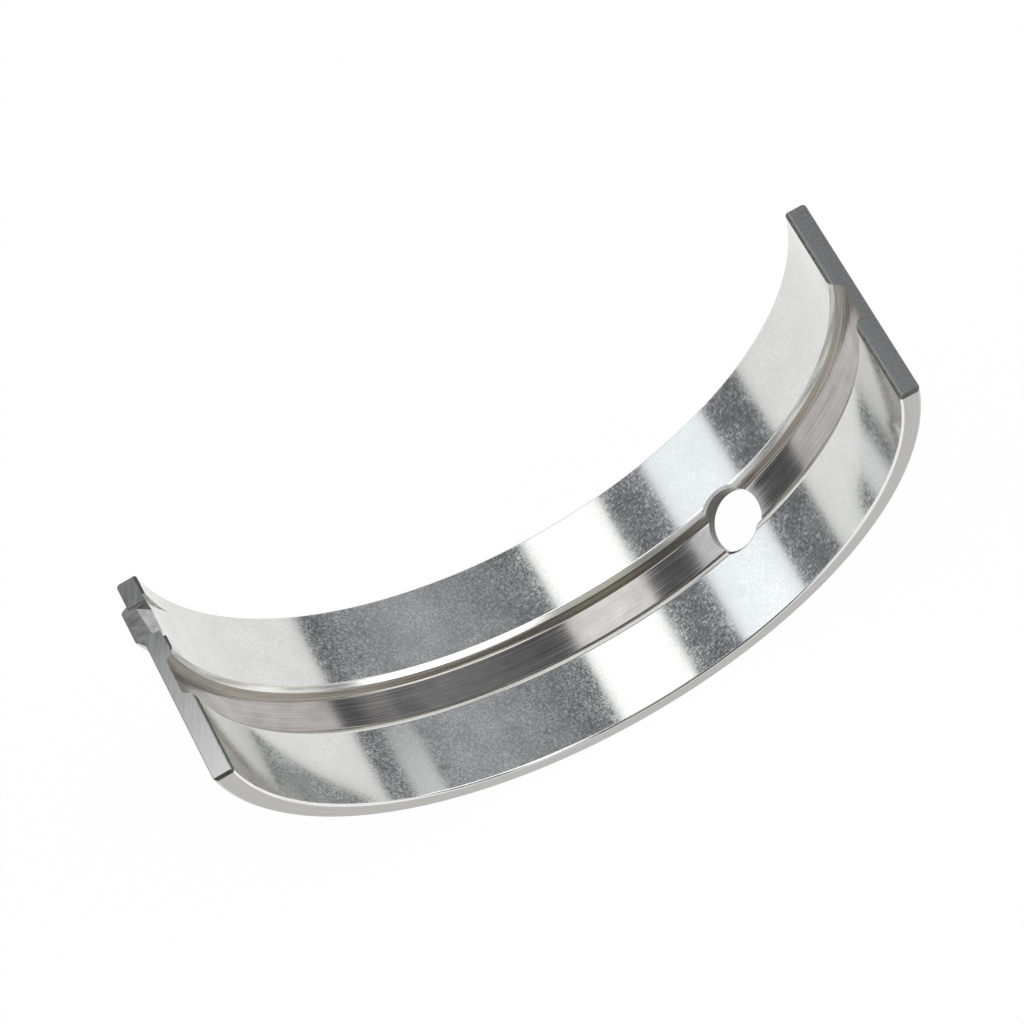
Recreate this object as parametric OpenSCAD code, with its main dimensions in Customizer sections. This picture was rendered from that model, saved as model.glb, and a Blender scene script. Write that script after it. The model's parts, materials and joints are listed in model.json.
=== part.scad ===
// Grooved half shell of an engine main bearing, drawn as it springs open before it is fitted.
// The bore axis runs along Y, the open side faces +Z, and the origin lies on the axis at mid width.
// The shell lies on its back. The locating tang stands at the -X end, nearer to the +Y side face.

/* [Shell] */
// Bore of the housing that the shell is pressed into
housing_d = 85; // [70:0.5:110]
// Thickness of the wall
wall = 2.5; // [2:0.05:4]
// Width along the bore axis
shell_w = 26.7; // [24:0.1:40]
// Arc that the free shell covers, in degrees
free_arc = 176; // [166:0.1:180]

/* [Edges] */
// Chamfer between the bore and each side face
bore_chamfer = 0.2; // [0.1:0.05:0.7]
// Chamfer between the back and each side face
back_chamfer = 0.35; // [0.1:0.05:0.7]
// Bevel along the inner edge of each parting face
parting_bevel = 0.4; // [0.2:0.05:0.7]
// Chamfer between each parting face and the -Y side face
parting_side_chamfer = 0.35; // [0.1:0.05:0.7]
// Chamfer between each parting face and the +Y side face, beside the tang
parting_tang_side_chamfer = 0.1; // [0.05:0.05:0.7]

/* [Oil groove] */
// Width of the flat floor
groove_floor_w = 4.4; // [2:0.1:6]
// Depth of the floor below the bore
groove_depth = 1.25; // [0.8:0.05:1.5]
// Slant of each wall away from the radial direction, in degrees
groove_wall_slant = 29; // [5:1:35]
// Width of the eased lip between a wall and the land beside it
groove_lip_w = 0.75; // [0.2:0.05:1.2]
// Depth of the eased lip
groove_lip_depth = 0.4; // [0.1:0.05:0.6]

/* [Oil hole] */
// Diameter of the hole
hole_d = 7.5; // [5:0.1:9]
// Angle of the hole from the middle of the shell, in degrees
hole_angle = 30.2; // [-60:0.1:60]
// Chamfer of the hole where it cuts into the lands
hole_chamfer = 0.3; // [0.1:0.05:0.5]
// Chamfer of the hole on the back
hole_back_chamfer = 0.25; // [0.1:0.05:0.5]

/* [Locating tang] */
// Distance from the +Y side face to the middle of the tang
tang_inset = 5.4; // [4.5:0.1:6.5]
// Width of the tang, from its sheared edge to the middle of its drawn flank
tang_w = 4.2; // [3:0.1:5]
// Height of the tang above the back
tang_h = 0.9; // [0.6:0.05:1.5]
// Length of the tang along the back, with its run-out
tang_len = 3; // [2:0.1:6]
// Length of the tang's level stretch below the parting face
tang_level_len = 0.7; // [0.6:0.05:1.8]
// Chamfer along the outer edge of the tang's end face
tang_chamfer = 0.25; // [0.1:0.05:0.5]
// Widening of the sheared flank, from the outer edge down to the back
tang_sheared_run = 0.4; // [0.1:0.05:1]
// Widening of the drawn flank, from the outer edge down to the back
tang_drawn_run = 1.4; // [0.3:0.05:2]
// Drop of the tang's end face below the parting face
tang_drop = 0.12; // [0.05:0.01:0.3]

/* [Tang recess] */
// Depth of the recess below the bore, at the parting face
recess_depth = 1.48; // [0.8:0.02:1.6]
// Length of the recess along the bore
recess_len = 1.5; // [1:0.1:3]
// Width of the recess at the parting face, level with the bore
recess_w = 4.4; // [3:0.1:5]
// Slant of both recess flanks towards the recess floor, in degrees
recess_draft = 12; // [2:1:20]
// Narrowing of the sheared recess flank along the bore, in degrees
recess_taper = 30; // [0:1:35]
// Depth of the shallow relief in the bore over the tang, at the parting face
relief_depth = 0.3; // [0.1:0.02:0.5]
// Length of the shallow relief along the bore
relief_len = 6.9; // [4:0.1:10]
// Width of the shallow relief
relief_w = 5.8; // [4.5:0.1:7]

/* [Hidden] */
$fn = 180;

// The wall keeps its length at mid thickness while the shell springs open, so its radius grows.
free_mid_r = (housing_d - wall) / 2 * 180 / free_arc;
bore_r = free_mid_r - wall / 2;
back_r = free_mid_r + wall / 2;
half_w = shell_w / 2;

groove_wall_run = (groove_depth - groove_lip_depth) * tan(groove_wall_slant);
groove_neck = groove_floor_w / 2 + groove_wall_run;
groove_mouth = groove_neck + groove_lip_w;

tang_z = half_w - tang_inset;
tang_r = back_r + tang_h;
// Radius at the relief cutter, from the depth and length that it leaves in the bore
relief_r = 1 / (1 / bore_r + 2 * relief_depth / pow(relief_len, 2));

// Reach of every cutter past the surface that it cuts
reach = wall;
steel = [0.78, 0.78, 0.77];

// Half of the wall's section, from the groove floor over the land and the side face to the back
half_section = [
    [bore_r + groove_depth, groove_floor_w / 2],
    [bore_r + groove_lip_depth, groove_neck],
    [bore_r, groove_mouth],
    [bore_r, half_w - bore_chamfer],
    [bore_r + bore_chamfer, half_w],
    [back_r - back_chamfer, half_w],
    [back_r, half_w - back_chamfer]
];

function mirrored(points) = [for (i = [len(points) - 1:-1:0]) [points[i][0], -points[i][1]]];

// The modules below work with the bore axis along Z and the middle of the shell along +Y.

// Places its children on a parting face: x outwards from the axis, y out of the face, z along the bore.
// side is -1 at the end at +X, and 1 at the end that has the tang.
module at_end(side) {
    rotate([0, 0, 90 + side * free_arc / 2])
        mirror([0, side < 0 ? 1 : 0, 0])
            children();
}

// Places its children at the oil hole, with z outwards from the axis.
module at_hole() {
    rotate([0, 0, 90 - hole_angle])
        rotate([0, 90, 0])
            children();
}

module curved_wall() {
    rotate([0, 0, 90 - free_arc / 2])
        rotate_extrude(angle = free_arc)
            polygon(concat(half_section, mirrored(half_section)));
}

// Drilled hole, eased where it bites into the lands beside the groove, and again on the back
module oil_hole() {
    at_hole() {
        translate([0, 0, bore_r - reach])
            cylinder(d = hole_d, h = wall + 2 * reach);
        translate([0, 0, bore_r - reach])
            cylinder(d1 = hole_d + 2 * (hole_chamfer + reach), d2 = hole_d, h = hole_chamfer + reach);
        translate([0, 0, back_r - hole_back_chamfer])
            cylinder(d1 = hole_d, d2 = hole_d + 2 * (hole_back_chamfer + reach), h = hole_back_chamfer + reach);
    }
}

// Bevel between a parting face and the bore
module parting_inner_bevel() {
    linear_extrude(height = shell_w + 2 * reach, center = true)
        polygon([
            [bore_r + parting_bevel + reach, reach],
            [bore_r - reach, -parting_bevel - reach],
            [bore_r - reach, reach]
        ]);
}

// Chamfer between a parting face and the side face at +z
module parting_side_edge(chamfer) {
    translate([bore_r - reach, 0, 0])
        rotate([90, 0, 90])
            linear_extrude(height = wall + 2 * reach)
                polygon([
                    [reach, half_w - chamfer - reach],
                    [-chamfer - reach, half_w + reach],
                    [reach, half_w + reach]
                ]);
}

module parting_edges() {
    parting_inner_bevel();
    parting_side_edge(parting_tang_side_chamfer);
    mirror([0, 0, 1])
        parting_side_edge(parting_side_chamfer);
}

// Tang seen along the bore: level below its end face, then running out into the back
module tang_side_view() {
    polygon([
        [free_mid_r, -tang_drop],
        [tang_r - tang_chamfer, -tang_drop],
        [tang_r, -tang_drop - tang_chamfer],
        [tang_r, -tang_level_len],
        [sqrt(pow(back_r, 2) - pow(tang_len, 2)), -tang_len],
        [free_mid_r, -tang_len]
    ]);
}

// Tang seen from its end face: a steep sheared flank at +z and a long drawn flank at -z
module tang_end_view() {
    polygon([
        [free_mid_r, tang_w / 2 + tang_sheared_run],
        [back_r, tang_w / 2 + tang_sheared_run],
        [tang_r, tang_w / 2],
        [tang_r, -tang_w / 2 + tang_drawn_run / 2],
        [back_r, -tang_w / 2 - tang_drawn_run / 2],
        [free_mid_r, -tang_w / 2 - tang_drawn_run / 2]
    ]);
}

module tang() {
    translate([0, 0, tang_z])
        intersection() {
            linear_extrude(height = shell_w, center = true)
                tang_side_view();
            rotate([90, 0, 0])
                linear_extrude(height = tang_len + reach)
                    tang_end_view();
        }
}

// Step that sets the tang's end face a little below the parting face
module tang_step() {
    translate([bore_r - reach, -tang_drop, tang_z - tang_w / 2])
        cube([wall + tang_h + 2 * reach, tang_drop + reach, tang_w]);
}

// Everything on one side of a recess flank, which leans in by the draft and narrows by the taper
module within_flank(taper) {
    size = 4 * (recess_w + recess_depth);
    translate([bore_r, 0, recess_w / 2])
        rotate([taper, 0, 0])
            rotate([0, recess_draft, 0])
                translate([-size / 2, -size / 2, -size])
                    cube(size);
}

// Recess that the punch leaves in the bore behind the tang, deepest at the parting face
module tang_recess() {
    fall = recess_depth / recess_len;
    translate([0, 0, tang_z])
        intersection() {
            linear_extrude(height = shell_w, center = true)
                polygon([
                    [bore_r - reach, reach],
                    [bore_r + recess_depth + fall * reach, reach],
                    [bore_r - reach, -recess_len - reach / fall]
                ]);
            within_flank(recess_taper);
            mirror([0, 0, 1])
                within_flank(0);
        }
}

// Shallow relief that keeps the bore clear of the shaft over the tang
module tang_relief() {
    translate([bore_r + relief_depth - relief_r, 0, tang_z])
        cylinder(r = relief_r, h = relief_w, center = true);
}

module bearing_shell() {
    color(steel)
        rotate([-90, 0, 0])
            difference() {
                union() {
                    curved_wall();
                    at_end(1)
                        tang();
                }
                oil_hole();
                at_end(-1)
                    parting_edges();
                at_end(1) {
                    parting_edges();
                    tang_step();
                    tang_recess();
                    tang_relief();
                }
            }
}

bearing_shell();
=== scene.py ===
"""Engine bearing shell on a white table: a fine mesh of the shell, its metal finishes, lamps and camera."""
import json
import math

import bpy
from mathutils import Matrix, Quaternion, Vector


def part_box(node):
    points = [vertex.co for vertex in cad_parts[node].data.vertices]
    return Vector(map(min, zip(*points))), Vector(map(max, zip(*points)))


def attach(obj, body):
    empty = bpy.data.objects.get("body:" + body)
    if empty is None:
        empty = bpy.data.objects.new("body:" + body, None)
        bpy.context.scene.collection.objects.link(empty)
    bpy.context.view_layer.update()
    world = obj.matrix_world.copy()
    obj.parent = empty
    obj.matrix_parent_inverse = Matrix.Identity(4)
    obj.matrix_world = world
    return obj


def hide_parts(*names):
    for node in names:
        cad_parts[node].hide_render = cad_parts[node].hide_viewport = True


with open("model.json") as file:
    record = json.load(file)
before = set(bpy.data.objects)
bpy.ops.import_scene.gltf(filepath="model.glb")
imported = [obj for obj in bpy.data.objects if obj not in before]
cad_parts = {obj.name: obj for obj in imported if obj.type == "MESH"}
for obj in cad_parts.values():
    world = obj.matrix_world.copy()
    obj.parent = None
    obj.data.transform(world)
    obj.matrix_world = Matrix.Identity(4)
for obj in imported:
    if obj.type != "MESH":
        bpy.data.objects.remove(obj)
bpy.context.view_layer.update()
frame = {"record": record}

# Sizes and directions that the frame gives, in metres
MM = 0.001
mounts = {mount["name"]: mount for mount in frame["record"]["mounts"]}
bore_r = mounts["journal_bore"]["dims"]["r_mm"] * MM
back_r = mounts["housing_seat"]["dims"]["r_mm"] * MM
hole_r = mounts["oil_hole"]["dims"]["r_mm"] * MM
hole_axis = Vector(mounts["oil_hole"]["axis"])
hole_turn = math.atan2(hole_axis.x, -hole_axis.z)
parting_normal = Vector(mounts["plain_parting_face"]["axis"])
end_turn = math.pi / 2 - math.atan2(parting_normal.x, parting_normal.z)
half_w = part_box("bearing_shell")[1].y
wall = back_r - bore_r
shell_w = 2 * half_w

# Section of the wall
bore_chamfer = 0.2 * MM
back_chamfer = 0.35 * MM
groove_floor_w = 4.4 * MM
groove_depth = 1.25 * MM
groove_wall_slant = math.radians(29)
groove_lip_w = 0.75 * MM
groove_lip_depth = 0.4 * MM
groove_neck = groove_floor_w / 2 + (groove_depth - groove_lip_depth) * math.tan(groove_wall_slant)
groove_mouth = groove_neck + groove_lip_w
edge_round = 0.05 * MM
lip_round = 0.12 * MM
floor_fillet = 0.28 * MM
round_segments = 4
spin_steps = 240

# Oil hole
hole_chamfer = 0.3 * MM
hole_back_chamfer = 0.25 * MM
hole_sides = 160

# Parting faces
plain_bevel = 0.4 * MM
tang_bevel = 0.25 * MM
plain_side_chamfer = 0.35 * MM
tang_side_chamfer = 0.1 * MM
outer_edge_break = 0.08 * MM
inner_edge_ease = 0.1 * MM

# Locating tang, its recess and the relief over it
tang_y = half_w - 5.4 * MM
tang_w = 4.2 * MM
tang_h = 0.9 * MM
tang_len = 3 * MM
tang_level_len = 0.7 * MM
tang_chamfer = 0.25 * MM
tang_sheared_run = 0.4 * MM
tang_drawn_run = 1.05 * MM
tang_drawn_start = 0.25 * MM
tang_drop = 0.12 * MM
tang_root = 0.3 * MM
# Where the painted shade by the tang on its parting face is full
tang_shade_y = 0.6 * half_w
recess_depth = 1.6 * MM
recess_tilt = math.radians(4)
recess_len = 1.5 * MM
recess_w = 4.4 * MM
recess_draft = math.radians(12)
recess_taper = math.radians(30)
relief_depth = 0.3 * MM
relief_len = 6.9 * MM
relief_w = 5.8 * MM
relief_r = 1 / (1 / bore_r + 2 * relief_depth / relief_len ** 2)
relief_sides = 900

# Reach of the cutters past what they cut, and the size of the blocks that they and the tang start as
reach = wall
cutter_span = 2 * shell_w
cutter_depth = 2 * wall
tang_stock_len = 2 * tang_len
tang_stock_w = 3 * tang_w
step_span = 6 * wall
punch_span = 4 * recess_w
punch_depth = 3 * recess_len

# Closeness at which two places count as one, and the angle up to which an edge is shaded smooth
same_place = 0.005 * MM
merge_gap = 0.001 * MM
smooth_angle = math.radians(25)

ALONG = Vector((0, 1, 0))


class ShellEnd:
    """One parting face: its bevel, and the directions out from the bore axis and out of the face."""

    def __init__(self, side, bevel):
        self.bevel = bevel
        self.outward = Vector((side * math.sin(end_turn), 0, -math.cos(end_turn)))
        self.facing = Vector((side * math.cos(end_turn), 0, math.sin(end_turn)))

    def point(self, radius, height, y):
        """Place at a radius from the bore axis, a height over the parting face and a y along the bore."""
        return self.outward * radius + self.facing * height + ALONG * y


plain_end = ShellEnd(1, plain_bevel)
tang_end = ShellEnd(-1, tang_bevel)


# Modelling steps

def deselect_all():
    if bpy.context.mode != "OBJECT":
        bpy.ops.object.mode_set(mode="OBJECT")
    bpy.ops.object.select_all(action="DESELECT")


def start_edit(piece):
    deselect_all()
    piece.select_set(True)
    bpy.context.view_layer.objects.active = piece
    bpy.ops.object.mode_set(mode="EDIT")
    bpy.ops.mesh.select_all(action="DESELECT")


def select_points(piece, rule):
    """Selects the points whose place passes the rule, in edit mode."""
    bpy.ops.mesh.select_mode(type="VERT")
    bpy.ops.mesh.select_all(action="DESELECT")
    bpy.ops.object.mode_set(mode="OBJECT")
    for point in piece.data.vertices:
        point.select = rule(point.co)
    bpy.ops.object.mode_set(mode="EDIT")


def near(value, target):
    return abs(value - target) < same_place


def named(name):
    piece = bpy.context.active_object
    piece.name = name
    piece.data.name = name
    return piece


def apply_place():
    bpy.ops.object.transform_apply(location=True, rotation=True, scale=True)


def carve(piece, point, facing):
    """Cuts a block along a plane and drops what lies on the side that the plane faces."""
    start_edit(piece)
    bpy.ops.mesh.select_all(action="SELECT")
    bpy.ops.mesh.bisect(plane_co=point, plane_no=facing, use_fill=True, clear_outer=True)
    bpy.ops.object.mode_set(mode="OBJECT")


def block(name, seat, facing, along, size):
    """Block of that size whose lower face sits at the seat, with its height along facing."""
    across = along.cross(facing).normalized()
    turned = Matrix((across, facing.cross(across), facing)).transposed()
    deselect_all()
    bpy.ops.mesh.primitive_cube_add(
        size=1, location=seat + facing * size[2] / 2, rotation=turned.to_euler())
    bpy.context.active_object.scale = size
    apply_place()
    return named(name)


def combine(piece, tool, operation):
    """Joins the tool to the piece, or cuts it out, and throws the tool away."""
    deselect_all()
    bpy.context.view_layer.objects.active = piece
    piece.select_set(True)
    step = piece.modifiers.new(operation.lower(), "BOOLEAN")
    step.operation = operation
    step.solver = "MANIFOLD"
    step.object = tool
    bpy.ops.object.modifier_apply(modifier=step.name)
    bpy.data.objects.remove(tool)


def soften(piece, rule, width, segments):
    """Rounds or chamfers the corners of a flat outline that pass the rule."""
    select_points(piece, rule)
    bpy.ops.mesh.bevel(offset=width, offset_type="OFFSET", segments=segments, affect="VERTICES")


# The shell

def wall_section():
    """Section of the wall at the crown, with its radius down -Z and its width along Y."""
    deselect_all()
    bpy.ops.mesh.primitive_plane_add(
        size=1, location=(0, 0, -(bore_r + back_r) / 2), rotation=(0, math.pi / 2, 0))
    bpy.context.active_object.scale = (wall, shell_w, 1)
    apply_place()
    section = named("bearing_shell_fine")
    start_edit(section)
    cuts = (groove_floor_w / 2, groove_neck, groove_mouth)
    for cut in [side * y for y in cuts for side in (-1, 1)]:
        bpy.ops.mesh.select_all(action="SELECT")
        bpy.ops.mesh.bisect(plane_co=(0, cut, 0), plane_no=ALONG)

    def on_bore_at(y):
        return lambda co: near(co.z, -bore_r) and near(abs(co.y), y)

    select_points(section, on_bore_at(groove_floor_w / 2))
    bpy.ops.transform.translate(value=(0, 0, -groove_depth))
    select_points(section, on_bore_at(groove_neck))
    bpy.ops.transform.translate(value=(0, 0, -groove_lip_depth))
    bpy.ops.mesh.select_all(action="SELECT")
    bpy.ops.mesh.dissolve_faces()
    select_points(section, lambda co: near(co.z, -back_r) and abs(co.y) < half_w - reach)
    bpy.ops.mesh.dissolve_verts()

    soften(section, lambda co: near(co.z, -bore_r) and near(abs(co.y), half_w), bore_chamfer, 1)
    soften(section, lambda co: near(co.z, -back_r) and near(abs(co.y), half_w), back_chamfer, 1)
    soften(section, lambda co: abs(co.y) > groove_mouth + reach, edge_round, round_segments)
    soften(section, lambda co: near(abs(co.y), groove_floor_w / 2), floor_fillet, round_segments)
    soften(section, lambda co: near(abs(co.y), groove_mouth), lip_round, round_segments)
    soften(section, lambda co: near(abs(co.y), groove_neck), lip_round, round_segments)
    bpy.ops.object.mode_set(mode="OBJECT")
    return section


def spun_wall():
    """The section turned to the tang end and spun round the bore axis to the plain end."""
    shell = wall_section()
    shell.rotation_euler = (0, end_turn, 0)
    apply_place()
    start_edit(shell)
    bpy.ops.mesh.select_all(action="SELECT")
    bpy.ops.mesh.spin(steps=spin_steps, angle=2 * end_turn, center=(0, 0, 0), axis=ALONG)
    bpy.ops.mesh.select_all(action="SELECT")
    bpy.ops.mesh.remove_doubles(threshold=merge_gap)
    bpy.ops.mesh.normals_make_consistent(inside=False)
    bpy.ops.object.mode_set(mode="OBJECT")
    return shell


def hole_cutter():
    """Drill with a flare at the bore and one at the back, modelled upright and turned to the hole."""
    low, high = -back_r - reach, -bore_r + reach
    deselect_all()
    bpy.ops.mesh.primitive_cylinder_add(
        vertices=hole_sides, radius=hole_r, depth=high - low, location=(0, 0, (low + high) / 2))
    apply_place()
    drill = named("hole_drill")
    start_edit(drill)
    for level in (-bore_r - hole_chamfer, -back_r + hole_back_chamfer):
        bpy.ops.mesh.select_all(action="SELECT")
        bpy.ops.mesh.bisect(plane_co=(0, 0, level), plane_no=(0, 0, 1))
    for level, chamfer in ((high, hole_chamfer), (low, hole_back_chamfer)):
        flare = (hole_r + chamfer + reach) / hole_r
        select_points(drill, lambda co: near(co.z, level))
        bpy.ops.transform.resize(value=(flare, flare, 1), center_override=(0, 0, level))
    bpy.ops.object.mode_set(mode="OBJECT")
    drill.rotation_euler = (0, -hole_turn, 0)
    apply_place()
    return drill


def outer_edge_cutter(end):
    """Block that breaks the edge between a parting face and the back."""
    seat = end.point(back_r - outer_edge_break, 0, 0)
    size = (cutter_depth, cutter_span, cutter_depth)
    return block("outer_break", seat, (end.facing + end.outward).normalized(), ALONG, size)


def edge_cutters(end):
    """Blocks that chamfer the inner edge and both side edges of one parting face."""
    size = (cutter_span, cutter_span, cutter_depth)
    inner = end.point(bore_r + end.bevel, 0, 0)
    inner_facing = (end.facing - end.outward).normalized()
    eased = end.point(bore_r + end.bevel + inner_edge_ease, 0, 0)
    eased_facing = (end.facing + inner_facing).normalized()
    plain_side = end.point(bore_r, 0, -half_w + plain_side_chamfer)
    tang_side = end.point(bore_r, 0, half_w - tang_side_chamfer)
    yield block("inner_bevel", inner, inner_facing, ALONG, size)
    yield block("inner_edge_ease", eased, eased_facing, ALONG, size)
    yield block("plain_side_chamfer", plain_side, (end.facing - ALONG).normalized(), end.outward, size)
    yield block("tang_side_chamfer", tang_side, (end.facing + ALONG).normalized(), end.outward, size)


def tang():
    """Punched lip: a block carved to its flanks, its chamfer and its run-out."""
    end = tang_end
    seat = end.point(back_r - tang_root, -tang_len / 2, tang_y)
    lip = block("tang", seat, end.outward, ALONG, (tang_stock_len, tang_stock_w, tang_h + tang_root))
    top = back_r + tang_h
    carve(lip, end.point(top, -tang_drop, tang_y), end.facing)
    carve(lip, end.point(top, -tang_drop - tang_chamfer, tang_y), (end.outward + end.facing).normalized())
    drop = top - math.sqrt(back_r ** 2 - tang_len ** 2)
    run = Vector((tang_len - tang_level_len, drop)).normalized()
    carve(lip, end.point(top, -tang_level_len, tang_y), end.outward * run.x - end.facing * run.y)
    sheared = Vector((tang_h, tang_sheared_run)).normalized()
    carve(lip, end.point(top, 0, tang_y + tang_w / 2), ALONG * sheared.x + end.outward * sheared.y)
    drawn = Vector((tang_h, tang_drawn_run)).normalized()
    carve(lip, end.point(top, 0, tang_y - tang_w / 2 + tang_drawn_start),
          -ALONG * drawn.x + end.outward * drawn.y)
    return lip


def tang_step():
    """Block that sets the tang's end face a little below the parting face."""
    seat = tang_end.point(back_r, -tang_drop, tang_y)
    return block("tang_step", seat, tang_end.facing, ALONG, (step_span, tang_w, wall))


def recess_cutter():
    """Punch that leaves the recess behind the tang."""
    end = tang_end
    slope = Vector((recess_len, recess_depth)).normalized()
    level_facing = -end.outward * slope.x + end.facing * slope.y
    floor_facing = level_facing * math.cos(recess_tilt) + ALONG * math.sin(recess_tilt)
    seat = end.point(bore_r + recess_depth, 0, tang_y)
    size = (punch_span, punch_span, punch_depth)
    punch = block("recess_punch", seat, floor_facing, end.outward, size)
    sheared = ALONG * math.cos(recess_taper) - end.facing * math.sin(recess_taper)
    draft = math.tan(recess_draft)
    carve(punch, end.point(bore_r, 0, tang_y + recess_w / 2), (sheared + end.outward * draft).normalized())
    carve(punch, end.point(bore_r, 0, tang_y - recess_w / 2), (-ALONG + end.outward * draft).normalized())
    return punch


def relief_cutter():
    """Shallow round cutter that clears the bore over the tang."""
    middle = tang_end.point(bore_r + relief_depth - relief_r, 0, tang_y)
    deselect_all()
    bpy.ops.mesh.primitive_cylinder_add(
        vertices=relief_sides, radius=relief_r, depth=relief_w, location=middle,
        rotation=(math.pi / 2, 0, 0))
    apply_place()
    return named("relief_cutter")


def machined_shell():
    shell = spun_wall()
    for end in (plain_end, tang_end):
        combine(shell, outer_edge_cutter(end), "DIFFERENCE")
    combine(shell, tang(), "UNION")
    combine(shell, hole_cutter(), "DIFFERENCE")
    for end in (plain_end, tang_end):
        for cutter in edge_cutters(end):
            combine(shell, cutter, "DIFFERENCE")
    combine(shell, tang_step(), "DIFFERENCE")
    combine(shell, recess_cutter(), "DIFFERENCE")
    combine(shell, relief_cutter(), "DIFFERENCE")
    deselect_all()
    shell.select_set(True)
    bpy.context.view_layer.objects.active = shell
    bpy.ops.object.shade_smooth_by_angle(angle=smooth_angle)
    even = shell.modifiers.new("even_shading", "WEIGHTED_NORMAL")
    even.keep_sharp = True
    bpy.ops.object.modifier_apply(modifier=even.name)
    return shell


# Metal finishes

# Range in which a noise pattern mostly lies
grain_low = 0.3
grain_high = 0.7


class Finish:
    """Metal whose colour, roughness and relief follow patterns laid along and across the shell."""

    def __init__(self, name):
        self.material = bpy.data.materials.new(name)
        self.material.use_nodes = True
        self.tree = self.material.node_tree
        self.metal = self.tree.nodes["Principled BSDF"]
        self.metal.inputs["Metallic"].default_value = 1

    def node(self, kind, inputs, **settings):
        made = self.tree.nodes.new(kind)
        for setting, value in settings.items():
            setattr(made, setting, value)
        for socket, value in inputs.items():
            if isinstance(value, bpy.types.NodeSocket):
                self.tree.links.new(value, made.inputs[socket])
            else:
                made.inputs[socket].default_value = value
        return made

    def math(self, operation, first, second):
        return self.node("ShaderNodeMath", {0: first, 1: second}, operation=operation).outputs[0]

    def blend(self, first, second, share):
        """Two patterns mixed, with that share of the second."""
        first_part = self.math("MULTIPLY", first, 1 - share)
        second_part = self.math("MULTIPLY", second, share)
        return self.math("ADD", first_part, second_part)

    def place(self):
        """Place on the shell: length along the arc, width along the bore, and distance from the axis."""
        coordinates = self.node("ShaderNodeTexCoord", {}).outputs["Object"]
        axes = self.node("ShaderNodeSeparateXYZ", {"Vector": coordinates}).outputs
        turn = self.math("ARCTAN2", axes["X"], self.math("MULTIPLY", axes["Z"], -1))
        arc = self.math("MULTIPLY", turn, bore_r)
        flat = self.node("ShaderNodeCombineXYZ", {"X": axes["X"], "Z": axes["Z"]}).outputs[0]
        radius = self.node("ShaderNodeVectorMath", {0: flat}, operation="LENGTH").outputs["Value"]
        return self.node("ShaderNodeCombineXYZ", {"X": arc, "Y": axes["Y"], "Z": radius}).outputs[0]

    def grain(self, place, per_mm, turn=0, detail=2):
        """Noise with that many grains a millimetre along the arc, across the width and outwards."""
        scale = [count / MM for count in per_mm]
        laid = self.node("ShaderNodeMapping", {"Vector": place, "Rotation": (turn, 0, 0)}).outputs[0]
        stretched = self.node("ShaderNodeMapping", {"Vector": laid, "Scale": scale}).outputs[0]
        noise = {"Vector": stretched, "Scale": 1, "Detail": detail}
        return self.node("ShaderNodeTexNoise", noise).outputs["Fac"]

    def spread(self, pattern, low, high, start=grain_low, stop=grain_high):
        """Stretches a stretch of a pattern to a range."""
        span = {"Value": pattern, "From Min": start, "From Max": stop, "To Min": low, "To Max": high}
        return self.node("ShaderNodeMapRange", span).outputs["Result"]

    def colour(self, pattern, dark, light):
        ramp = self.node("ShaderNodeValToRGB", {"Fac": pattern})
        ends = zip(ramp.color_ramp.elements, (grain_low, grain_high), (dark, light))
        for stop, position, shade in ends:
            stop.position = position
            stop.color = (*shade, 1)
        self.tree.links.new(ramp.outputs["Color"], self.metal.inputs["Base Color"])

    def roughness(self, pattern, low, high):
        self.tree.links.new(self.spread(pattern, low, high), self.metal.inputs["Roughness"])

    def dull_flecks(self, pattern, share):
        """Lets the peaks of a pattern scatter light, as scratched metal does."""
        flecks = self.spread(pattern, 1, 1 - share)
        self.tree.links.new(flecks, self.metal.inputs["Metallic"])

    def dull(self, share):
        """Lets a share of the light scatter evenly."""
        self.metal.inputs["Metallic"].default_value = 1 - share

    def relief(self, pattern, depth):
        bump = self.node("ShaderNodeBump", {"Height": pattern, "Distance": depth})
        self.tree.links.new(bump.outputs["Normal"], self.metal.inputs["Normal"])


def bored_lining():
    """Lands of the bore: fine boring lines crossed by short streaks, like a weave."""
    finish = Finish("bored_lining")
    place = finish.place()
    lines = finish.grain(place, per_mm=(1.5, 7, 0), detail=1)
    streaks = finish.grain(place, per_mm=(7, 1.5, 0), detail=1)
    clouds = finish.grain(place, per_mm=(0.25, 0.35, 0))
    crossed = finish.math("MAXIMUM", lines, streaks)
    weave = finish.blend(crossed, clouds, share=0.2)
    crisp = finish.spread(weave, grain_low, grain_high, start=0.47, stop=0.67)
    finish.colour(crisp, dark=(0.645, 0.65, 0.63), light=(0.835, 0.84, 0.82))
    finish.dull_flecks(crisp, share=0.28)
    finish.roughness(crisp, low=0.1, high=0.21)
    return finish.material


def turned_groove():
    """Groove floor: darker metal with turning lines round the bore."""
    finish = Finish("turned_groove")
    place = finish.place()
    lines = finish.grain(place, per_mm=(0.06, 5, 0), detail=3)
    smears = finish.grain(place, per_mm=(0.35, 0.5, 0))
    mixed = finish.blend(lines, smears, share=0.4)
    finish.colour(mixed, dark=(0.31, 0.295, 0.282), light=(0.53, 0.506, 0.486))
    finish.dull_flecks(lines, share=0.06)
    finish.roughness(lines, low=0.09, high=0.19)
    finish.relief(lines, depth=0.002 * MM)
    return finish.material


def groove_wall():
    """Slanted walls of the groove, warmer and darker than the lands."""
    finish = Finish("groove_wall")
    place = finish.place()
    lines = finish.grain(place, per_mm=(0.08, 5, 5))
    finish.colour(lines, dark=(0.30, 0.272, 0.235), light=(0.45, 0.42, 0.375))
    finish.roughness(lines, low=0.16, high=0.28)
    finish.relief(lines, depth=0.002 * MM)
    return finish.material


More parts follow.
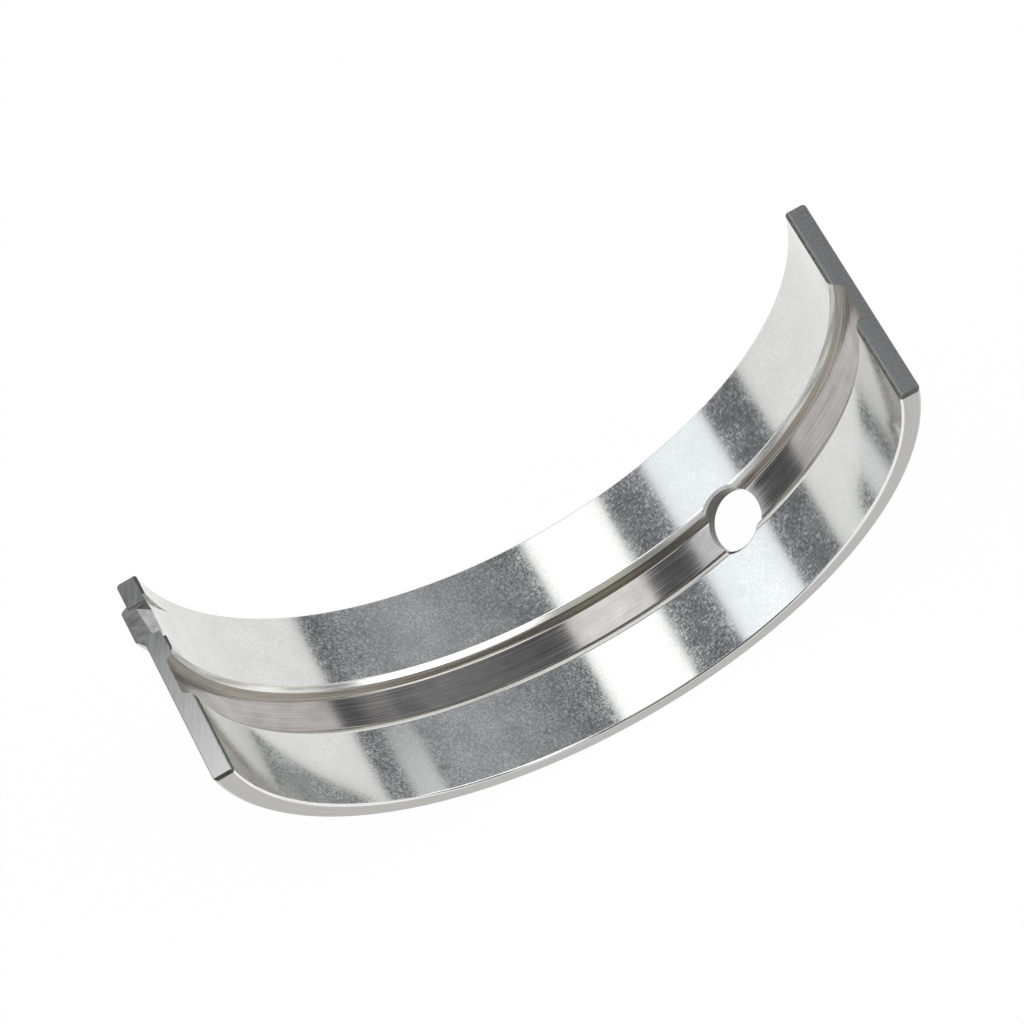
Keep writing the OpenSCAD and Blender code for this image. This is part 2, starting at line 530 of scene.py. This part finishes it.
def groove_lip():
    """Eased lips between the groove and the lands, cut bright."""
    finish = Finish("groove_lip")
    place = finish.place()
    lines = finish.grain(place, per_mm=(0.08, 5, 5))
    finish.colour(lines, dark=(0.73, 0.725, 0.69), light=(0.83, 0.825, 0.79))
    finish.dull(share=0.14)
    finish.roughness(lines, low=0.14, high=0.26)
    finish.relief(lines, depth=0.002 * MM)
    return finish.material


def faced_side():
    """Side faces: turned, dull and slightly warm."""
    finish = Finish("faced_side")
    place = finish.place()
    lines = finish.grain(place, per_mm=(0.06, 0, 7))
    finish.colour(lines, dark=(0.42, 0.41, 0.39), light=(0.52, 0.51, 0.49))
    finish.roughness(lines, low=0.28, high=0.42)
    finish.relief(lines, depth=0.003 * MM)
    return finish.material


def ground_parting():
    """Plain parting face: ground dull and dark."""
    finish = Finish("ground_parting")
    place = finish.place()
    marks = finish.grain(place, per_mm=(0, 4, 4), detail=4)
    finish.colour(marks, dark=(0.215, 0.215, 0.217), light=(0.31, 0.31, 0.312))
    finish.roughness(marks, low=0.34, high=0.46)
    finish.relief(marks, depth=0.003 * MM)
    return finish.material


def milled_parting():
    """Parting face at the tang: slanting cutter marks, with painted shade that makes it dark by the tang
    and lighter towards -Y.
    """
    finish = Finish("milled_parting")
    place = finish.place()
    marks = finish.grain(place, per_mm=(0, 4, 0.25), turn=math.radians(-63))
    across = finish.node("ShaderNodeSeparateXYZ", {"Vector": place}).outputs["Y"]
    # Painted shade: the colour darkens from the -Y side towards the tang
    light = finish.spread(across, low=0.72, high=grain_low, start=-half_w, stop=tang_shade_y)
    mixed = finish.blend(light, marks, share=0.28)
    finish.colour(mixed, dark=(0.10, 0.10, 0.103), light=(0.62, 0.62, 0.605))
    finish.roughness(marks, low=0.34, high=0.5)
    finish.relief(marks, depth=0.008 * MM)
    return finish.material


def eased_parting():
    """Bevels and chamfers of the parting faces, with dark colour as a painted reflection of the dim
    surroundings.
    """
    finish = Finish("eased_parting")
    place = finish.place()
    marks = finish.grain(place, per_mm=(0, 3, 3))
    # Painted reflection: dark colour that stands in for the dark that the bevels mirror
    finish.colour(marks, dark=(0.15, 0.15, 0.125), light=(0.23, 0.23, 0.195))
    finish.roughness(marks, low=0.26, high=0.4)
    return finish.material


def bright_edge():
    """Chamfers between the bore and the side faces, cut bright."""
    finish = Finish("bright_edge")
    place = finish.place()
    lines = finish.grain(place, per_mm=(0.3, 6, 6))
    finish.colour(lines, dark=(0.78, 0.78, 0.77), light=(0.88, 0.88, 0.87))
    finish.roughness(lines, low=0.12, high=0.24)
    return finish.material


def rolled_back():
    """Steel back, with faint rolling marks along the arc."""
    finish = Finish("rolled_back")
    place = finish.place()
    lines = finish.grain(place, per_mm=(0.1, 3, 0))
    finish.colour(lines, dark=(0.50, 0.50, 0.51), light=(0.60, 0.60, 0.61))
    finish.roughness(lines, low=0.24, high=0.38)
    finish.relief(lines, depth=0.003 * MM)
    return finish.material


def drawn_tang():
    """Outside of the tang, stretched by the punch."""
    finish = Finish("drawn_tang")
    place = finish.place()
    marks = finish.grain(place, per_mm=(2, 2, 0.6))
    finish.colour(marks, dark=(0.50, 0.50, 0.49), light=(0.66, 0.66, 0.65))
    finish.roughness(marks, low=0.24, high=0.4)
    finish.relief(marks, depth=0.004 * MM)
    return finish.material


def sheared_tang():
    """End face of the tang, torn by the shear."""
    finish = Finish("sheared_tang")
    place = finish.place()
    tears = finish.grain(place, per_mm=(0, 1.6, 0.7), detail=4)
    finish.colour(tears, dark=(0.10, 0.10, 0.102), light=(0.30, 0.30, 0.297))
    finish.roughness(tears, low=0.36, high=0.55)
    finish.relief(tears, depth=0.03 * MM)
    return finish.material


def punched_recess():
    """Recess behind the tang and flanks of the relief, pressed smooth and light."""
    finish = Finish("punched_recess")
    place = finish.place()
    marks = finish.grain(place, per_mm=(1.2, 1.2, 1.2))
    finish.colour(marks, dark=(0.54, 0.54, 0.525), light=(0.74, 0.74, 0.72))
    finish.dull(share=0.5)
    finish.roughness(marks, low=0.3, high=0.42)
    finish.relief(marks, depth=0.004 * MM)
    return finish.material


def recess_end_painted_shade():
    """End of the recess that the punch sheared, painted dark as painted shade, with torn marks."""
    finish = Finish("recess_end_painted_shade")
    place = finish.place()
    tears = finish.grain(place, per_mm=(1.5, 1.5, 0.8), detail=4)
    # Painted shade: dark colour for the end wall of the recess
    finish.colour(tears, dark=(0.10, 0.10, 0.09), light=(0.22, 0.22, 0.2))
    finish.roughness(tears, low=0.36, high=0.55)
    finish.relief(tears, depth=0.01 * MM)
    return finish.material


def drilled_wall():
    """Wall of the oil hole, with painted shade that makes it darker towards +Y."""
    finish = Finish("drilled_wall")
    place = finish.place()
    lines = finish.grain(place, per_mm=(0.4, 0.4, 7))
    across = finish.node("ShaderNodeSeparateXYZ", {"Vector": place}).outputs["Y"]
    # Painted shade: the wall's colour darkens towards +Y
    painted_shade = finish.spread(across, grain_high, grain_low, start=-hole_r / 2, stop=hole_r)
    mixed = finish.blend(painted_shade, lines, share=0.25)
    finish.colour(mixed, dark=(0.045, 0.042, 0.036), light=(0.33, 0.325, 0.315))
    finish.roughness(lines, low=0.2, high=0.36)
    finish.relief(lines, depth=0.003 * MM)
    return finish.material


def hole_edge_highlight():
    """Chamfer of the oil hole where it cuts the far land, with a painted highlight that keeps it light."""
    finish = Finish("hole_edge_highlight")
    place = finish.place()
    marks = finish.grain(place, per_mm=(3, 3, 3))
    # Painted highlight: light colour and a large even-scattering share keep this chamfer bright from any
    # side
    finish.colour(marks, dark=(0.78, 0.78, 0.765), light=(0.82, 0.82, 0.805))
    finish.dull(share=0.75)
    finish.roughness(marks, low=0.2, high=0.34)
    return finish.material


# Which finish goes where

# How closely a face looks in a direction, as the cosine of the angle between them
square_on = 0.9
facing_axis = 0.95
nearly_level = 0.99
lip_level = 0.8
wall_level = 0.3
edge_level = 0.1
recess_level = 0.2
slanted = 0.5
hole_chamfer_level = (0.6, 0.8)

# Farthest that the floor of the relief lies from the axis
relief_floor_r = bore_r + 1.2 * relief_depth


def radius_at(place):
    return math.hypot(place.x, place.z)


def inward(place, facing):
    """How far a face looks towards the bore axis, from -1 to 1."""
    return -(facing.x * place.x + facing.z * place.z) / radius_at(place)


def everywhere(place, facing):
    return True


def on_lands(place, facing):
    return inward(place, facing) > facing_axis and radius_at(place) < relief_floor_r


def on_groove_floor(place, facing):
    deep = radius_at(place) > bore_r + groove_depth - floor_fillet / 2
    return deep and inward(place, facing) > facing_axis and abs(place.y) < groove_floor_w / 2


def on_groove_wall(place, facing):
    within = abs(place.y) < groove_mouth + lip_round
    above_floor = radius_at(place) < bore_r + groove_depth + edge_round
    return within and above_floor and wall_level < inward(place, facing) <= nearly_level


def on_groove_lip(place, facing):
    high = radius_at(place) < bore_r + groove_lip_depth + edge_round
    return high and on_groove_wall(place, facing) and inward(place, facing) > lip_level


def on_side_face(place, facing):
    return abs(facing.y) > square_on and abs(place.y) > half_w - edge_round


def on_bore_edge(place, facing):
    at_side = abs(place.y) > half_w - bore_chamfer - 2 * edge_round
    return at_side and edge_level < inward(place, facing) < nearly_level


def end_at(place):
    return plain_end if place.x > 0 else tang_end


def on_parting(place, facing):
    end = end_at(place)
    return place.dot(end.facing) > -2 * tang_drop and facing.dot(end.facing) > square_on


def on_plain_parting(place, facing):
    return end_at(place) is plain_end and on_parting(place, facing)


def on_tang_parting(place, facing):
    return end_at(place) is tang_end and on_parting(place, facing)


def on_parting_edge(place, facing):
    """Bevels and chamfers of the parting faces."""
    end = end_at(place)
    return place.dot(end.facing) > -2 * plain_bevel and slanted < facing.dot(end.facing) <= square_on


def from_hole_axis(place):
    return (place - hole_axis * place.dot(hole_axis)).length


def on_hole_wall(place, facing):
    return place.dot(hole_axis) > 0 and near(from_hole_axis(place), hole_r)


def on_hole_edge(place, facing):
    """The far chamfer of the hole, outside the groove, which gets the painted highlight."""
    beside_hole = place.dot(hole_axis) > 0 and 0 < from_hole_axis(place) - hole_r < 2 * hole_chamfer
    flattest, steepest = hole_chamfer_level
    tilted = flattest < abs(facing.dot(hole_axis)) < steepest
    return beside_hole and tilted and place.y > groove_neck


def beside_tang(place):
    return abs(place.y - tang_y) < tang_w and place.dot(tang_end.facing) > -tang_len and place.x < 0


def on_tang(place, facing):
    return beside_tang(place) and radius_at(place) > back_r + edge_round


def on_tang_end(place, facing):
    dropped = place.dot(tang_end.facing) < -tang_drop / 2 and facing.dot(tang_end.facing) > square_on
    return dropped and beside_tang(place) and radius_at(place) > bore_r + wall / 2


def on_recess(place, facing):
    below_parting = place.dot(tang_end.facing) < 0 and facing.dot(tang_end.facing) < square_on
    within = abs(place.y - tang_y) < recess_w / 2 + edge_round
    sunk = bore_r + relief_depth / 3 < radius_at(place) < back_r - edge_round
    tilted = abs(facing.y) > slanted or recess_level < inward(place, facing) < facing_axis
    return beside_tang(place) and below_parting and within and sunk and tilted


def on_recess_end(place, facing):
    return on_recess(place, facing) and facing.y < -slanted


def on_relief_flank(place, facing):
    shallow = radius_at(place) < relief_floor_r
    return shallow and abs(facing.y) > slanted and near(abs(place.y - tang_y), relief_w / 2)


def on_pressed(place, facing):
    return on_recess(place, facing) or on_relief_flank(place, facing)


def paint(piece, finish, rule):
    """Gives a finish to the faces whose middle and facing pass the rule."""
    piece.data.materials.append(finish)
    start_edit(piece)
    bpy.ops.mesh.select_mode(type="FACE")
    bpy.ops.object.mode_set(mode="OBJECT")
    for face in piece.data.polygons:
        face.select = rule(face.center, face.normal)
    bpy.ops.object.mode_set(mode="EDIT")
    piece.active_material_index = len(piece.data.materials) - 1
    bpy.ops.object.material_slot_assign()
    bpy.ops.object.mode_set(mode="OBJECT")


def finish_shell(piece):
    paint(piece, rolled_back(), everywhere)
    paint(piece, bored_lining(), on_lands)
    paint(piece, groove_wall(), on_groove_wall)
    paint(piece, groove_lip(), on_groove_lip)
    paint(piece, turned_groove(), on_groove_floor)
    paint(piece, faced_side(), on_side_face)
    paint(piece, bright_edge(), on_bore_edge)
    paint(piece, drawn_tang(), on_tang)
    paint(piece, eased_parting(), on_parting_edge)
    paint(piece, ground_parting(), on_plain_parting)
    paint(piece, milled_parting(), on_tang_parting)
    paint(piece, punched_recess(), on_pressed)
    paint(piece, recess_end_painted_shade(), on_recess_end)
    paint(piece, sheared_tang(), on_tang_end)
    paint(piece, drilled_wall(), on_hole_wall)
    paint(piece, hole_edge_highlight(), on_hole_edge)


# Table, lamps and camera

table_r = 1.8
table_rim_r = 2.6
table_rim_rise = 0.1
table_glow = 0.98
table_sides = 96
table_paint = (0.9, 0.9, 0.9)
cool_tint = (0.94, 0.975, 1)
studio_grey = (0.139, 0.145, 0.158)

# Camera fitted to the edges of the shell in the photo
camera_eye = Vector((-0.00616, -0.207786, 0.407346))
camera_target = Vector((-0.001169, 0.006848, -0.02))
camera_roll = math.radians(-27.9002)
camera_lens = 148.259
camera_sensor_w = 36
camera_clip_start = 0.01


def white_table():
    """Round white table, with a low rim that turns up where it would end."""
    deselect_all()
    bpy.ops.mesh.primitive_circle_add(
        vertices=table_sides, radius=table_r, fill_type="NGON", location=(0, 0, -back_r))
    apply_place()
    table = named("table")
    start_edit(table)
    bpy.ops.mesh.select_mode(type="EDGE")
    bpy.ops.mesh.select_all(action="SELECT")
    bpy.ops.mesh.region_to_loop()
    bpy.ops.mesh.extrude_edges_move(TRANSFORM_OT_translate={"value": (0, 0, table_rim_rise)})
    widen = table_rim_r / table_r
    bpy.ops.transform.resize(value=(widen, widen, 1), center_override=(0, 0, 0))
    bpy.ops.object.mode_set(mode="OBJECT")
    table.data.materials.append(table_white())


def table_white():
    """White that shows as the background, to the eye and in the metal, and still takes a faint shadow."""
    white = bpy.data.materials.new("table_white")
    white.use_nodes = True
    tree = white.node_tree
    tree.nodes.remove(tree.nodes["Principled BSDF"])
    paint_coat = tree.nodes.new("ShaderNodeBsdfDiffuse")
    paint_coat.inputs["Color"].default_value = (*table_paint, 1)
    glow = tree.nodes.new("ShaderNodeEmission")
    glow.inputs["Color"].default_value = (1, 1, 1, 1)
    seen = tree.nodes.new("ShaderNodeLightPath").outputs
    share = seen["Is Camera Ray"]
    for kind in ("Is Glossy Ray", "Is Transmission Ray"):
        total = tree.nodes.new("ShaderNodeMath")
        total.use_clamp = True
        tree.links.new(share, total.inputs[0])
        tree.links.new(seen[kind], total.inputs[1])
        share = total.outputs[0]
    part = tree.nodes.new("ShaderNodeMath")
    part.operation = "MULTIPLY"
    part.inputs[1].default_value = table_glow
    tree.links.new(share, part.inputs[0])
    mix = tree.nodes.new("ShaderNodeMixShader")
    tree.links.new(part.outputs[0], mix.inputs[0])
    tree.links.new(paint_coat.outputs[0], mix.inputs[1])
    tree.links.new(glow.outputs[0], mix.inputs[2])
    tree.links.new(mix.outputs[0], tree.nodes["Material Output"].inputs["Surface"])
    white.cycles.emission_sampling = "NONE"
    return white


def softbox(name, turn, lean, distance, size, brightness, tint=(1, 1, 1)):
    """Lamp panel that faces the bore. Turn goes from overhead to +X and lean to +Y, in degrees.

    Brightness is what a mirror would show of the panel, with 1 as white.
    """
    across, tilt = math.radians(turn), math.radians(lean)
    toward = Vector((math.sin(across) * math.cos(tilt), math.sin(tilt), math.cos(across) * math.cos(tilt)))
    upright = (ALONG - toward * toward.y).normalized()
    turned = Matrix((upright.cross(toward), upright, toward)).transposed()
    deselect_all()
    bpy.ops.object.light_add(type="AREA", location=toward * distance, rotation=turned.to_euler())
    panel = named(name)
    panel.data.shape = "RECTANGLE"
    panel.data.size, panel.data.size_y = size
    panel.data.energy = math.pi * size[0] * size[1] * brightness
    panel.data.color = tint
    panel.visible_camera = False


def lamps():
    softbox("overhead_panel", turn=-8.7, lean=27, distance=0.8,
            size=(0.365, 0.6), brightness=1.45)
    softbox("top_front_panel", turn=-10, lean=-2, distance=0.8,
            size=(0.75, 0.25), brightness=1.75)
    softbox("left_panel", turn=-55.3, lean=15, distance=0.8,
            size=(0.368, 1.04), brightness=1.15, tint=(0.915, 0.955, 1))
    softbox("left_panel_front", turn=-55.3, lean=5, distance=0.8,
            size=(0.368, 0.5), brightness=0.8)
    softbox("right_glow_wide", turn=45, lean=27, distance=0.85,
            size=(1.04, 0.6), brightness=0.04, tint=cool_tint)
    softbox("right_glow_outer", turn=46, lean=27, distance=0.85,
            size=(0.72, 0.6), brightness=0.06, tint=cool_tint)
    softbox("right_glow_middle", turn=48, lean=27, distance=0.85,
            size=(0.47, 0.6), brightness=0.07, tint=cool_tint)
    softbox("right_glow_heart", turn=50, lean=27, distance=0.85,
            size=(0.25, 0.6), brightness=0.06, tint=cool_tint)
    softbox("right_streak", turn=73.3, lean=11.4, distance=0.8,
            size=(0.15, 0.4), brightness=0.68)
    softbox("front_key", turn=44.5, lean=-17, distance=1.0,
            size=(1.13, 0.81), brightness=1.9)
    softbox("front_low_panel", turn=44.7, lean=-59, distance=0.9,
            size=(0.245, 0.3), brightness=1.4)
    softbox("front_left_panel", turn=-57, lean=-22, distance=1.0,
            size=(0.66, 0.4), brightness=0.5)
    softbox("rear_low_panel", turn=0, lean=80, distance=1.2,
            size=(0.8, 0.3), brightness=0.9)
    softbox("front_card", turn=-9, lean=-30, distance=0.9,
            size=(0.36, 0.3), brightness=0.38, tint=(1, 1, 0.75))
    softbox("front_card_left", turn=-33, lean=-28, distance=0.9,
            size=(0.28, 0.3), brightness=0.03, tint=(1, 1, 0.3))
    softbox("front_low_card", turn=-12, lean=-61, distance=0.9,
            size=(0.25, 0.25), brightness=0.23, tint=(1, 1, 0.35))


def dim_studio():
    studio = bpy.data.worlds.new("dim_studio")
    studio.use_nodes = True
    sky = studio.node_tree.nodes["Background"]
    sky.inputs["Color"].default_value = (*studio_grey, 1)
    bpy.context.scene.world = studio


def photo_camera():
    roll = Quaternion((0, 0, 1), camera_roll)
    looking = (camera_target - camera_eye).to_track_quat("-Z", "Y")
    deselect_all()
    bpy.ops.object.camera_add(location=camera_eye)
    camera = named("photo_camera")
    camera.rotation_euler = (looking @ roll).to_euler()
    camera.data.lens = camera_lens
    camera.data.sensor_width = camera_sensor_w
    camera.data.clip_start = camera_clip_start
    bpy.context.scene.camera = camera


photo_camera()
shell = machined_shell()
finish_shell(shell)
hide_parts("bearing_shell")
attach(shell, "root")

white_table()
lamps()
dim_studio()
bpy.context.scene.view_settings.view_transform = "Standard"
